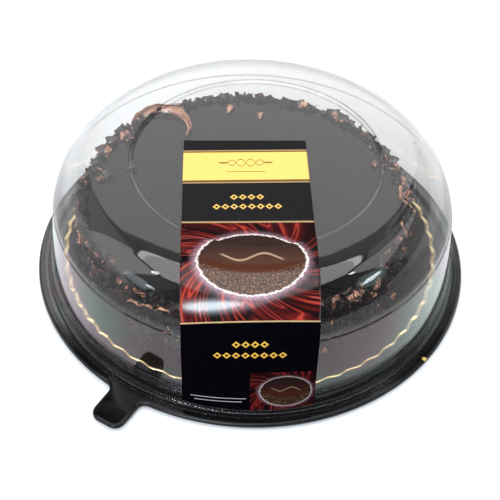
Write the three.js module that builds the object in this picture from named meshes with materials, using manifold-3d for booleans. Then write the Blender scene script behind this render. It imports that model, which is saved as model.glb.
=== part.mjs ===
// A shut retail pack with a chocolate cake: a black tray, a clear domed lid, a card label strip,
// a gold board with a scalloped edge, and the glazed cake with its band of chocolate shavings.
// Millimetres, +Z up. The origin is on the table, under the middle of the tray. The label faces -Y.
import * as THREE from "three";
import { mergeVertices } from "three/addons/utils/BufferGeometryUtils.js";
import Module from "manifold-3d";

const wasm = await Module();
wasm.setup();

// ---- driving dimensions ----
const roundSteps = 56; // facets round every turned piece
const gap = 0.3; // air kept between neighbouring pieces

const tray = {
  radius: 138, // outside of the turned-down lip
  wall: 1.0,
  rimTop: 4.8, // the flat rim, on which the lid's flange lies
  rimRound: 0.8,
  lipBottom: 2.2,
  rimInner: 131.0,
  grooveOuter: 130.0, // the groove, whose underside stands on the table
  grooveInner: 125.4,
  ribOuter: 124.0, // the lid's skirt sits round this ring
  ribInner: 122.2,
  ribTop: 9.8,
  valleyRadius: 121.4,
  valleyHeight: 9.2,
  platformRadius: 118.6,
  platformTop: 12.0,
};

const tab = {
  azimuth: -122.8, // degrees from +X
  halfWidth: 10.4,
  reach: 160, // from the tray's axis to the tab's tip
  corner: 6.5,
  rootSpread: 4.1, // how far the root's fillets widen each side
  rootLength: 4.2,
};

const lid = {
  wall: 0.8,
  flangeRadius: 133.9,
  flangeInner: 131.2,
  skirtFoot: [130.1, 7.2], // radius and height of the line's corners, on its outside
  skirtTop: [129.1, 13.8],
  wallFoot: [128.0, 14.6],
  wallTop: [122.9, 54.2], // a small step in from here leads to the shoulder
  shoulderRadius: 122.1,
  shoulderFoot: 55.2,
  topRadius: 97.0,
  top: 84.0,
  shoulderPower: 1.3, // 1 is an ellipse, more is flatter
  shoulderSteps: 7,
  recessRadius: 75.2,
  recessDepth: 1.8,
  recessSlope: 0.9, // half the width of the step round the recess
};

const board = {
  radius: 119.9,
  centre: [-0.8, 0], // the board lies a little off the tray's axis
  scallops: 54,
  scallopDepth: 1.4,
  thickness: 1.2,
  stepsPerScallop: 4,
};

const cake = {
  radius: 102,
  centre: [-4.8, 4.8], // the cake stands off the middle of its board
  top: 46.0, // the glaze at the rim
  crown: 0.8, // how much higher the middle is
  rimRound: 5.0,
  footRound: 2.0,
};

const shavings = {
  count: 108,
  innerRadius: 96, // from the cake's own axis
  lengthLeast: 8,
  lengthMost: 17,
  widthLeast: 4,
  widthMost: 8,
  taper: 0.35, // how much narrower a shaving gets towards one end
  foldLeast: 0.4,
  foldMost: 1.6,
  thickness: 1.3,
  seed: 20,
  turn: 2.39996, // the golden angle in radians, from one shaving to the next
  lean: 0.55, // how far a shaving tips, in radians
  lift: 1.0, // a shaving's middle over the glaze
  sink: 1.2, // how much lower it lies on the rounded rim
  proud: 0.8, // a shaving's middle outside the cake's side
  sideShare: 0.5, // share of the shavings that lie against the side
  curlMargin: 11, // no shaving lies as near as this to the large curl
};

const curl = {
  centre: [-60.5, 70.0],
  radius: 19.5,
  start: 168, // degrees from +X
  end: -22,
  steps: 14,
  thickness: 2.4,
  height: 6.0,
  bulge: 1.6, // how far the curl's outer face swells
  endSize: 0.45, // its section at the two ends, as a share of the middle's
};

const label = {
  width: 74.2,
  offset: -5.5, // the strip's middle from the lid's axis
  topEdge: 15.1, // where the strip starts, behind the lid's axis
  bottom: 8.5, // height of its lower edge
  bridgeTop: 25, // from here down the card stands off the wall, out to the skirt
  clear: 0.35,
  thickness: 0.4,
  columns: 8,
  recessRows: 4,
  topRows: 3,
};

// ---- helpers ----
const radians = (degrees) => (degrees * Math.PI) / 180;

function seededRandom(seed) {
  let state = seed >>> 0;
  return () => {
    state = (state + 0x6d2b79f5) >>> 0;
    let mixed = Math.imul(state ^ (state >>> 15), 1 | state);
    mixed = (mixed + Math.imul(mixed ^ (mixed >>> 7), 61 | mixed)) ^ mixed;
    return ((mixed ^ (mixed >>> 14)) >>> 0) / 4294967296;
  };
}

function bareGeometry(geometry) {
  const bare = geometry.clone();
  bare.deleteAttribute("normal");
  bare.deleteAttribute("uv");
  return mergeVertices(bare, 1e-4);
}

function toSolid(geometry) {
  const bare = bareGeometry(geometry);
  return new wasm.Manifold(
    new wasm.Mesh({
      numProp: 3,
      vertProperties: new Float32Array(bare.attributes.position.array),
      triVerts: new Uint32Array(bare.index.array),
    }),
  );
}

function toGeometry(solid) {
  const made = solid.getMesh();
  const geometry = new THREE.BufferGeometry();
  geometry.setAttribute("position", new THREE.BufferAttribute(made.vertProperties, 3));
  geometry.setIndex(new THREE.BufferAttribute(made.triVerts, 1));
  geometry.computeVertexNormals();
  return geometry;
}

// Turns a profile of [radius, height] points, listed up the outside and back down the inside.
function turned(profile) {
  const points = profile.map(([r, z]) => new THREE.Vector2(r, z));
  return new THREE.LatheGeometry(points, roundSteps).rotateX(Math.PI / 2);
}

// A closed solid between two grids of points of the same size, the outer and the inner face.
function sheetSolid(outer, inner) {
  const rows = outer.length;
  const columns = outer[0].length;
  const positions = [...outer.flat(), ...inner.flat()].flat();
  const at = (side, i, j) => (side * rows + i) * columns + j;
  const faces = [];
  const quad = (a, b, c, d) => faces.push(a, b, c, a, c, d);
  for (let i = 0; i + 1 < rows; i++)
    for (let j = 0; j + 1 < columns; j++) {
      quad(at(0, i, j), at(0, i + 1, j), at(0, i + 1, j + 1), at(0, i, j + 1));
      faces.push(at(1, i, j), at(1, i + 1, j + 1), at(1, i + 1, j));
      faces.push(at(1, i, j), at(1, i, j + 1), at(1, i + 1, j + 1));
    }
  const lastRow = rows - 1;
  const lastColumn = columns - 1;
  for (let i = 0; i < lastRow; i++) {
    quad(at(0, i, 0), at(1, i, 0), at(1, i + 1, 0), at(0, i + 1, 0));
    quad(at(0, i + 1, lastColumn), at(1, i + 1, lastColumn), at(1, i, lastColumn), at(0, i, lastColumn));
  }
  for (let j = 0; j < lastColumn; j++) {
    quad(at(0, 0, j + 1), at(1, 0, j + 1), at(1, 0, j), at(0, 0, j));
    quad(at(0, lastRow, j), at(1, lastRow, j), at(1, lastRow, j + 1), at(0, lastRow, j + 1));
  }
  const geometry = new THREE.BufferGeometry();
  geometry.setAttribute("position", new THREE.Float32BufferAttribute(positions, 3));
  geometry.setIndex(faces);
  geometry.computeVertexNormals();
  return geometry;
}

function named(name, geometry, colour, roughness, metalness = 0, extra = {}) {
  const material = new THREE.MeshStandardMaterial({ color: colour, roughness, metalness, ...extra });
  const mesh = new THREE.Mesh(geometry, material);
  mesh.name = name;
  return mesh;
}

// ---- the tray ----
function trayProfile() {
  const t = tray.wall;
  const top = [
    [tray.radius, tray.lipBottom],
    [tray.radius, tray.rimTop - tray.rimRound],
    [tray.radius - tray.rimRound, tray.rimTop],
    [tray.rimInner, tray.rimTop],
    [tray.grooveOuter, t],
    [tray.grooveInner, t],
    [tray.ribOuter, tray.ribTop],
    [tray.ribInner, tray.ribTop],
    [tray.valleyRadius, tray.valleyHeight],
    [tray.platformRadius, tray.platformTop],
    [0, tray.platformTop],
  ];
  const under = [
    [0, tray.platformTop - t],
    [tray.platformRadius - t / 2, tray.platformTop - t],
    [tray.valleyRadius, tray.valleyHeight - t],
    [tray.ribOuter - t, tray.ribTop - t],
    [tray.grooveInner - t, 0],
    [tray.grooveOuter + t, 0],
    [tray.rimInner + t, tray.rimTop - t],
    [tray.radius - t, tray.rimTop - t],
    [tray.radius - t, tray.lipBottom],
  ];
  return [...top, ...under, top[0]];
}

// The lifting tab's outline, drawn along +X with the tray's axis at the origin. A positive inset shrinks it.
function tabOutline(inset) {
  const half = tab.halfWidth - inset;
  const tip = tab.reach - inset;
  const corner = tab.corner - inset;
  const root = tray.radius - 0.5;
  const start = root - 2;
  const shape = new THREE.Shape();
  shape.moveTo(start, -half - tab.rootSpread);
  shape.lineTo(root, -half - tab.rootSpread);
  shape.quadraticCurveTo(root + tab.rootLength * 0.6, -half, root + tab.rootLength, -half);
  shape.lineTo(tip - corner, -half);
  shape.absarc(tip - corner, -half + corner, corner, -Math.PI / 2, 0, false);
  shape.absarc(tip - corner, half - corner, corner, 0, Math.PI / 2, false);
  shape.lineTo(root + tab.rootLength, half);
  shape.quadraticCurveTo(root + tab.rootLength * 0.6, half, root, half + tab.rootSpread);
  shape.lineTo(start, half + tab.rootSpread);
  shape.closePath();
  return shape;
}

function tabBlock(inset, bottom, top) {
  const settings = { depth: top - bottom, bevelEnabled: false, curveSegments: 5 };
  const geometry = new THREE.ExtrudeGeometry(tabOutline(inset), settings);
  return toSolid(geometry.translate(0, 0, bottom).rotateZ(radians(tab.azimuth)));
}

function makeTray() {
  const body = toSolid(turned(trayProfile()));
  const block = tabBlock(0, tray.lipBottom, tray.rimTop);
  const hollow = tabBlock(tray.wall, tray.lipBottom - 1, tray.rimTop - tray.wall);
  const hollowTab = block.subtract(hollow);
  return toGeometry(body.add(hollowTab));
}

// ---- the clear lid ----
// The same line moved sideways by a distance, outwards where it runs up and in towards the axis.
function offsetLine(points, distance) {
  const normals = points.slice(1).map(([r1, z1], i) => {
    const [r0, z0] = points[i];
    const length = Math.hypot(r1 - r0, z1 - z0);
    return [(z1 - z0) / length, (r0 - r1) / length];
  });
  return points.map(([r, z], i) => {
    const before = normals[Math.max(i - 1, 0)];
    const after = normals[Math.min(i, normals.length - 1)];
    const scale = distance / (1 + before[0] * after[0] + before[1] * after[1]);
    return [r + scale * (before[0] + after[0]), z + scale * (before[1] + after[1])];
  });
}

// The lid's outer line over the shoulder and the sunk top, from just above the wall to the axis.
function lidCrown() {
  const points = [];
  for (let i = 0; i <= lid.shoulderSteps; i++) {
    const turn = (i / lid.shoulderSteps) * (Math.PI / 2);
    const across = (lid.shoulderRadius - lid.topRadius) * Math.cos(turn) ** lid.shoulderPower;
    const up = (lid.top - lid.shoulderFoot) * Math.sin(turn) ** lid.shoulderPower;
    points.push([lid.topRadius + across, lid.shoulderFoot + up]);
  }
  points.push([lid.recessRadius + lid.recessSlope, lid.top]);
  points.push([lid.recessRadius - lid.recessSlope, lid.top - lid.recessDepth]);
  points.push([0, lid.top - lid.recessDepth]);
  return points;
}

function makeLid() {
  const flangeTop = tray.rimTop + gap + lid.wall;
  const line = [
    [lid.flangeRadius, flangeTop],
    [lid.flangeInner, flangeTop],
    lid.skirtFoot,
    lid.skirtTop,
    lid.wallFoot,
    lid.wallTop,
    ...lidCrown(),
  ];
  const inner = offsetLine(line, -lid.wall).reverse();
  return turned([...line, ...inner, line[0]]);
}

// ---- the card label strip ----
// The point at height z on the straight line between two points of the lid's outer line.
function pointAt([r0, z0], [r1, z1], z) {
  return [r0 + ((r1 - r0) * (z - z0)) / (z1 - z0), z];
}

// One lengthwise line of the strip at a given x: over the flat top, down the shoulder and the wall,
// then straight out to the skirt.
function stripColumn(x, clear) {
  const under = [
    pointAt(lid.skirtFoot, lid.skirtTop, label.bottom),
    lid.skirtTop,
    pointAt(lid.wallFoot, lid.wallTop, label.bridgeTop),
    lid.wallTop,
    ...lidCrown().slice(1),
  ];
  const profile = offsetLine(under, clear);
  const front = (r) => -Math.sqrt(r ** 2 - x ** 2);
  const line = [];
  const run = (from, to, steps, z) => {
    for (let i = 0; i < steps; i++) line.push([x, from + ((to - from) * i) / steps, z]);
  };
  const [rim, stepOut, stepIn] = profile.slice(-4);
  run(label.topEdge, front(stepIn[0]), label.recessRows, stepIn[1]);
  line.push([x, front(stepIn[0]), stepIn[1]]);
  run(front(stepOut[0]), front(rim[0]), label.topRows, stepOut[1]);
  for (const [r, z] of profile.slice(0, -3).reverse()) line.push([x, front(r), z]);
  return line;
}

function makeLabel() {
  const faces = [label.clear + label.thickness, label.clear].map((clear) => {
    const columns = [];
    for (let j = 0; j <= label.columns; j++) {
      const x = label.offset + label.width * (j / label.columns - 0.5);
      columns.push(stripColumn(x, clear));
    }
    return columns[0].map((_, i) => columns.map((column) => column[i]));
  });
  return sheetSolid(faces[0], faces[1]);
}

// ---- the gold board ----
function makeBoard() {
  const shape = new THREE.Shape();
  const steps = board.scallops * board.stepsPerScallop;
  for (let i = 0; i < steps; i++) {
    const turn = (i / steps) * Math.PI * 2;
    const r = board.radius + (board.scallopDepth / 2) * Math.cos(turn * board.scallops);
    shape[i ? "lineTo" : "moveTo"](r * Math.cos(turn), r * Math.sin(turn));
  }
  shape.closePath();
  const settings = { depth: board.thickness, bevelEnabled: false };
  const [x, y] = board.centre;
  return new THREE.ExtrudeGeometry(shape, settings).translate(x, y, tray.platformTop + gap);
}

// ---- the cake ----
const cakeBottom = tray.platformTop + gap + board.thickness + gap;

function cakeProfile() {
  const r = cake.radius;
  const points = [
    [0, cakeBottom],
    [r - cake.footRound, cakeBottom],
    [r, cakeBottom + cake.footRound],
    [r, cake.top - cake.rimRound],
  ];
  for (const turn of [30, 60, 90]) {
    const across = r - cake.rimRound + cake.rimRound * Math.cos(radians(turn));
    points.push([across, cake.top - cake.rimRound + cake.rimRound * Math.sin(radians(turn))]);
  }
  points.push([r * 0.5, cake.top + cake.crown * 0.8], [0, cake.top + cake.crown]);
  return points;
}

// A bent sliver of chocolate: a thin wedge, thicker at one end, folded a little along its middle.
function sliver(length, width, bend) {
  const half = width / 2;
  const t = shavings.thickness;
  const across = [-half, 0, half];
  const face = (lift) =>
    [-0.5, 0.5].map((end) =>
      across.map((y) => {
        const fold = bend * (1 - Math.abs(y) / half);
        return [end * length, y * (1 - shavings.taper * (end + 0.5)), lift + fold];
      }),
    );
  return sheetSolid(face(t / 2), face(-t / 2));
}

function nearCurl(x, y) {
  const away = Math.hypot(x - curl.centre[0], y - curl.centre[1]);
  return Math.abs(away - curl.radius) < shavings.curlMargin;
}

function makeShavings() {
  const random = seededRandom(shavings.seed);
  const between = (low, high) => low + (high - low) * random();
  const placed = [];
  for (let i = 0; i < shavings.count; i++) {
    const turn = (i * shavings.turn) % (Math.PI * 2);
    const length = between(shavings.lengthLeast, shavings.lengthMost);
    const width = between(shavings.widthLeast, shavings.widthMost);
    const piece = sliver(length, width, between(shavings.foldLeast, shavings.foldMost));
    const spin = between(0, Math.PI * 2);
    const tip = between(-shavings.lean, shavings.lean);
    const roll = between(-shavings.lean, shavings.lean);
    const onSide = random() < shavings.sideShare;
    const share = random();
    piece.rotateX(roll).rotateY(tip).rotateZ(spin);
    let r = shavings.innerRadius + (cake.radius - shavings.innerRadius) * Math.sqrt(share);
    let z = cake.top + shavings.lift;
    if (onSide) {
      piece.rotateY(Math.PI / 2);
      r = cake.radius + shavings.proud;
      z = cakeBottom + length / 2 + 1 + share * (cake.top - cakeBottom - length - 2);
    } else if (r > cake.radius - cake.rimRound) z -= shavings.sink;
    const x = cake.centre[0] + r * Math.cos(turn);
    const y = cake.centre[1] + r * Math.sin(turn);
    piece.rotateZ(turn).translate(x, y, z);
    if (onSide || !nearCurl(x, y)) placed.push(toSolid(piece));
  }
  return placed;
}

function makeCake() {
  const [x, y] = cake.centre;
  let solid = toSolid(turned(cakeProfile()).translate(x, y, 0));
  for (const piece of makeShavings()) solid = solid.add(piece);
  const bodies = solid.decompose().sort((a, b) => b.volume() - a.volume());
  return toGeometry(bodies[0]);
}

// ---- the large curl on the glaze ----
function makeCurl() {
  const base = cake.top + cake.crown + gap;
  const section = [
    [-curl.thickness / 2, 0],
    [curl.thickness / 2, 0],
    [curl.thickness / 2 + curl.bulge, curl.height * 0.5],
    [curl.thickness / 2, curl.height],
    [-curl.thickness / 2, curl.height],
    [-curl.thickness / 2 + curl.bulge, curl.height * 0.5],
  ];
  const rings = [];
  for (let i = 0; i <= curl.steps; i++) {
    const share = i / curl.steps;
    const turn = radians(curl.start + (curl.end - curl.start) * share);
    const taper = curl.endSize + (1 - curl.endSize) * Math.sin(Math.PI * share);
    const ring = section.map(([out, up]) => {
      const r = curl.radius + out * taper;
      return [curl.centre[0] + r * Math.cos(turn), curl.centre[1] + r * Math.sin(turn), base + up * taper];
    });
    rings.push(ring);
  }
  return loftSolid(rings);
}

// A closed solid through a row of rings with the same number of points, its two ends capped.
function loftSolid(rings) {
  const n = rings[0].length;
  const faces = [];
  for (let i = 0; i + 1 < rings.length; i++)
    for (let j = 0; j < n; j++) {
      const k = (j + 1) % n;
      faces.push(i * n + j, (i + 1) * n + k, (i + 1) * n + j);
      faces.push(i * n + j, i * n + k, (i + 1) * n + k);
    }
  const end = (rings.length - 1) * n;
  for (let j = 1; j + 1 < n; j++) faces.push(0, j + 1, j, end, end + j, end + j + 1);
  const geometry = new THREE.BufferGeometry();
  geometry.setAttribute("position", new THREE.Float32BufferAttribute(rings.flat().flat(), 3));
  geometry.setIndex(faces);
  geometry.computeVertexNormals();
  return geometry;
}

// ---- the pack ----
const pack = new THREE.Group();
pack.add(named("base_tray", makeTray(), 0x0b0b0c, 0.18));
const clear = { transparent: true, opacity: 0.18 };
pack.add(named("dome_lid", makeLid(), 0xe8ebec, 0.05, 0, clear));
pack.add(named("label_strip", makeLabel(), 0x141212, 0.3));
pack.add(named("cake_board", makeBoard(), 0xd8b25a, 0.3, 0.9));
pack.add(named("cake", makeCake(), 0x24120b, 0.25));
pack.add(named("chocolate_curl", makeCurl(), 0x4a2415, 0.4));

export default pack;
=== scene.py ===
import math

import bpy
import numpy as np
from mathutils import Matrix, Vector


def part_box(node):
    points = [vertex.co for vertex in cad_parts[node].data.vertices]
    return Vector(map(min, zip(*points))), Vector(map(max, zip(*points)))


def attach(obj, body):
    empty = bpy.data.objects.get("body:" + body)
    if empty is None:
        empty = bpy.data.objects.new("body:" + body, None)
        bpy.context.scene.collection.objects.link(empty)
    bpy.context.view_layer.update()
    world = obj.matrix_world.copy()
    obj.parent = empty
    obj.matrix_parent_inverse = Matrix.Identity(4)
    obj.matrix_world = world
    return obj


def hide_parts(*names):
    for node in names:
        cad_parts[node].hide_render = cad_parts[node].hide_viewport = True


# A shut pack with a chocolate glazed cake: black tray, clear domed lid, card label strip, gold board,
# glazed cake with shavings, one large curl. Shapes are worked out in millimetres and written in metres.

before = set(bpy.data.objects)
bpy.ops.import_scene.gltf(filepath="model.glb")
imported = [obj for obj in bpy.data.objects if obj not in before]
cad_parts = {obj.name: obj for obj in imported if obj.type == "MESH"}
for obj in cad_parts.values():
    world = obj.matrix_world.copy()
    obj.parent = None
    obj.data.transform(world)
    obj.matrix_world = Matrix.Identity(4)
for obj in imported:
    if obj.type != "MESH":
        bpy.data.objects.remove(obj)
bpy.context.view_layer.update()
scene = bpy.context.scene
mm = 0.001
fullTurn = 2 * math.pi


# The low and the high corner of a node's box.
def nodeBox(name):
    return [np.array(corner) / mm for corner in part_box(name)]


boardLow, boardHigh = nodeBox("cake_board")
labelLow, labelHigh = nodeBox("label_strip")
trayHigh = nodeBox("base_tray")[1]
lidHigh = nodeBox("dome_lid")[1]
cakeLow = nodeBox("cake")[0]
curlLow = nodeBox("chocolate_curl")[0]


# Shader maths as plain expressions: a Number wraps a socket, and each operator adds a Math node.
class Number:
    def __init__(self, nodes, socket):
        self.nodes = nodes
        self.socket = socket

    def maths(self, operation, *others):
        return self.nodes.maths(operation, self, *others)

    def __add__(self, other):
        return self.maths("ADD", other)

    def __radd__(self, other):
        return self.nodes.maths("ADD", other, self)

    def __sub__(self, other):
        return self.maths("SUBTRACT", other)

    def __rsub__(self, other):
        return self.nodes.maths("SUBTRACT", other, self)

    def __mul__(self, other):
        return self.maths("MULTIPLY", other)

    def __rmul__(self, other):
        return self.nodes.maths("MULTIPLY", other, self)

    def __truediv__(self, other):
        return self.maths("DIVIDE", other)

    def __pow__(self, other):
        return self.maths("POWER", other)

    def __gt__(self, other):
        return self.maths("GREATER_THAN", other)

    def __abs__(self):
        return self.maths("ABSOLUTE")

    def wave(self):
        return self.maths("SINE")

    def most(self, other):
        return self.maths("MAXIMUM", other)

    # 0 up to low, 1 from high, and a smooth step between them; low above high runs it downwards
    def step(self, low, high):
        (first, start), (last, end) = sorted(((low, 0.0), (high, 1.0)))
        places = {0: self, 1: first, 2: last, 3: start, 4: end}
        return self.nodes.add("ShaderNodeMapRange", {"interpolation_type": "SMOOTHSTEP"}, places)


# The node tree of one material or of the world.
class Nodes:
    def __init__(self, owner):
        owner.use_nodes = True
        self.owner = owner
        self.tree = owner.node_tree
        self.tree.nodes.clear()

    def add(self, kind, settings=None, sockets=None, output=0):
        node = self.tree.nodes.new(kind)
        for name, value in (settings or {}).items():
            if name == "stops":
                self.setStops(node.color_ramp, value)
            else:
                setattr(node, name, value)
        for place, value in (sockets or {}).items():
            if isinstance(value, Number):
                self.tree.links.new(value.socket, node.inputs[place])
            else:
                node.inputs[place].default_value = value
        if output is None:
            return node
        return Number(self, node.outputs[output])

    def maths(self, operation, *values):
        return self.add("ShaderNodeMath", {"operation": operation}, dict(enumerate(values)))

    def setStops(self, ramp, stops):
        while len(ramp.elements) < len(stops):
            ramp.elements.new(1.0)
        for element, (place, colour) in zip(ramp.elements, stops):
            element.position = place
            element.color = (*colour, 1.0)

    def blend(self, share, *colours):
        first, second = (tone if isinstance(tone, Number) else (*tone, 1.0) for tone in colours)
        return self.add("ShaderNodeMix", {"data_type": "RGBA"}, {0: share, 6: first, 7: second}, output=2)

    def mix(self, share, *shaders):
        return self.add("ShaderNodeMixShader", None, {0: share, 1: shaders[0], 2: shaders[1]})

    def parts(self, vector):
        node = self.add("ShaderNodeSeparateXYZ", None, {0: vector}, output=None)
        return [Number(self, socket) for socket in node.outputs]

    def joined(self, *parts):
        return self.add("ShaderNodeCombineXYZ", None, dict(enumerate(parts)))

    def vectors(self, operation, sockets, output=0):
        return self.add("ShaderNodeVectorMath", {"operation": operation}, sockets, output)

    def along(self, vector, direction):
        return self.vectors("DOT_PRODUCT", {0: vector, 1: tuple(direction)}, output=1)

    def place(self, name):
        return self.add("ShaderNodeTexCoord", output=name)

    def attribute(self, name):
        return self.add("ShaderNodeAttribute", {"attribute_name": name}, output="Fac")

    def noise(self, where, scale, detail=3.0, rough=0.5, bend=0.0):
        sockets = {"Vector": where, "Scale": scale, "Detail": detail}
        sockets.update({"Roughness": rough, "Distortion": bend})
        return self.add("ShaderNodeTexNoise", None, sockets)

    def bump(self, height, depth, strength):
        return self.add("ShaderNodeBump", None, {"Height": height, "Distance": depth, "Strength": strength})

    def principled(self, colour, normal, roughness, **sockets):
        names = {name.replace("_", " "): value for name, value in sockets.items()}
        names["Base Color"] = (*colour, 1.0) if isinstance(colour, tuple) else colour
        names["Roughness"] = roughness
        if normal:
            names["Normal"] = normal
        return self.add("ShaderNodeBsdfPrincipled", None, names)

    def finish(self, surface, kind="ShaderNodeOutputMaterial"):
        self.add(kind, None, {"Surface": surface}, output=None)
        return self.owner


# A new material's nodes, and the place on the object that its patterns read.
def newMaterial(name, place="Object"):
    nodes = Nodes(bpy.data.materials.new(name))
    return nodes, nodes.place(place)


# Meshes. A grid of points has rows and columns, and its quads face the side from which the columns
# run anticlockwise round the rows' direction.
def gridFaces(rows, columns, joinRows=False, joinColumns=False):
    i = np.arange(rows if joinRows else rows - 1)[:, None]
    j = np.arange(columns if joinColumns else columns - 1)[None, :]
    down = (i + 1) % rows
    right = (j + 1) % columns
    corners = [i * columns + j, i * columns + right, down * columns + right, down * columns + j]
    return np.stack(np.broadcast_arrays(*corners), -1).reshape(-1, 4)


# Two grids of points, one over the other, closed into a thin solid by quads round the border.
def sheetFaces(rows, columns):
    quads = gridFaces(rows, columns)
    index = np.arange(rows * columns).reshape(rows, columns)
    edge = np.concatenate([index[0, :-1], index[:-1, -1], index[-1, :0:-1], index[:0:-1, 0]])
    after = np.roll(edge, -1)
    rim = np.stack([edge, after, after + index.size, edge + index.size], -1)
    return np.concatenate([quads[:, ::-1], quads + index.size, rim])


def fanFaces(pole, ring, upwards):
    after = np.roll(ring, -1)
    sides = (ring, after) if upwards else (after, ring)
    return np.stack([np.full(len(ring), pole), *sides], -1)


def addPiece(name, points, faceSets, material, node, uv=None, values=None):
    points = np.asarray(points, float).reshape(-1, 3)
    corners = np.concatenate([faces.ravel() for faces in faceSets])
    sizes = np.concatenate([np.full(len(faces), faces.shape[1]) for faces in faceSets])
    starts = np.concatenate([[0], np.cumsum(sizes)[:-1]])
    mesh = bpy.data.meshes.new(name)
    mesh.vertices.add(len(points))
    mesh.vertices.foreach_set("co", (points * mm).astype(np.float32).ravel())
    mesh.loops.add(len(corners))
    mesh.loops.foreach_set("vertex_index", corners.astype(np.int32))
    mesh.polygons.add(len(sizes))
    mesh.polygons.foreach_set("loop_start", starts.astype(np.int32))
    mesh.polygons.foreach_set("use_smooth", np.ones(len(sizes), bool))
    mesh.update(calc_edges=True)
    if uv is not None:
        layer = mesh.uv_layers.new(name="strip")
        layer.data.foreach_set("uv", np.asarray(uv, np.float32).reshape(-1, 2)[corners].ravel())
    for label, numbers in (values or {}).items():
        attribute = mesh.attributes.new(label, "FLOAT", "POINT")
        attribute.data.foreach_set("value", np.asarray(numbers, np.float32).ravel())
    mesh.materials.append(material)
    mesh.validate()
    piece = bpy.data.objects.new(name, mesh)
    scene.collection.objects.link(piece)
    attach(piece, "root")
    if node:
        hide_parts(node)
    print("made", name, len(sizes), "faces")
    return piece


# A grid whose columns close round the axis and whose first and last rows close on a pole each: the
# lower pole faces down and the upper one up.
def cappedGrid(grid, lowerPole, upperPole):
    rows, columns = grid.shape[:2]
    points = np.concatenate([grid.reshape(-1, 3), [lowerPole], [upperPole]])
    first = np.arange(columns)
    last = first + (rows - 1) * columns
    count = rows * columns
    faces = [gridFaces(rows, columns, joinColumns=True)]
    faces += [fanFaces(count, first, False), fanFaces(count + 1, last, True)]
    return points, faces


def around(steps):
    return np.linspace(0, fullTurn, steps, endpoint=False)


# Each point is (r cos a, r sin a, z), for every radius r and height z of the profile and every angle a.
def turnedGrid(profile, steps):
    angle = around(steps)
    r = profile[:, :1]
    z = np.broadcast_to(profile[:, 1:], (len(profile), steps))
    return np.stack([r * np.cos(angle), r * np.sin(angle), z], -1)


# The quadratic curve (1-t)^2 a + 2t(1-t) c + t^2 b from a to b, with its corner at c.
def curved(a, c, b, steps):
    t = np.linspace(0, 1, steps)[:, None]
    return (1 - t) ** 2 * a + 2 * t * (1 - t) * c + t ** 2 * b


# Each inner corner of a line becomes such a curve, between points a reach before and after the corner.
def rounded(line, reach):
    line = np.asarray(line, float)
    made = [line[:1]]
    for before, corner, after in zip(line, line[1:], line[2:]):
        back = before - corner
        ahead = after - corner
        size = min(reach, np.linalg.norm(back) * 0.45, np.linalg.norm(ahead) * 0.45)
        a = corner + back / np.linalg.norm(back) * size
        b = corner + ahead / np.linalg.norm(ahead) * size
        made.append(curved(a, corner, b, 6))
    made.append(line[-1:])
    return np.vstack(made)


# The line with more points on its long stretches: one close to each end, so that the shading of a bend
# stays at the bend, and evenly spaced ones between.
def supported(line, near=0.25, spacing=4.0):
    made = [line[:1]]
    for start, end in zip(line, line[1:]):
        length = np.linalg.norm(end - start)
        if length > near * 4:
            inner = np.linspace(near, length - near, max(2, round(length / spacing) + 1))[:, None]
            made.append(start + (end - start) * inner / length)
        made.append(end[None])
    return np.vstack(made)


# The line moved sideways, to its right-hand side, by a distance: each point goes along the mitre of the
# two stretches that meet there.
def offsetLine(line, distance):
    along = np.diff(line, axis=0)
    along /= np.linalg.norm(along, axis=1)[:, None]
    side = np.stack([along[:, 1], -along[:, 0]], -1)
    before = np.vstack([side[:1], side])
    after = np.vstack([side, side[-1:]])
    reach = distance / (1 + (before * after).sum(1, keepdims=True))
    return line + reach * (before + after)


# A smooth random line round the cake: the sum of a few cosines of whole numbers of waves.
def wobble(angle, waves, seed):
    random = np.random.default_rng(seed)
    total = np.zeros_like(angle)
    for count in waves:
        total = total + np.cos(count * angle + random.uniform(0, fullTurn)) * random.uniform(0.5, 1)
    return total / len(waves)


# The camera: it stands to the front, looks down, and is turned and rolled a little.
camera = {
    "place": (-25.0, -423.0, 444.4),
    "down": 46.24,
    "turn": -3.3,
    "roll": 2.228,
    "focalPixels": 925.0,
    "framePixels": 500.0,
    "sensor": 36.0,
}


def makeCamera():
    down, turn, roll = (math.radians(camera[name]) for name in ("down", "turn", "roll"))
    spin = Matrix.Rotation(turn, 3, "Z")
    ahead = spin @ Vector((0, math.cos(down), -math.sin(down)))
    up = spin @ Vector((0, math.sin(down), math.cos(down)))
    right = spin @ Vector((1, 0, 0))
    across = right * math.cos(roll) + up * math.sin(roll)
    upright = up * math.cos(roll) - right * math.sin(roll)
    data = bpy.data.cameras.new("camera")
    data.sensor_width = camera["sensor"]
    data.lens = camera["sensor"] * camera["focalPixels"] / camera["framePixels"]
    data.clip_start = 0.02
    data.clip_end = 100
    made = bpy.data.objects.new("camera", data)
    scene.collection.objects.link(made)
    turned = Matrix((across, upright, -ahead)).transposed().to_4x4()
    made.matrix_world = Matrix.Translation(Vector(camera["place"]) * mm) @ turned
    scene.camera = made


makeCamera()
print("camera set")

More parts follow.
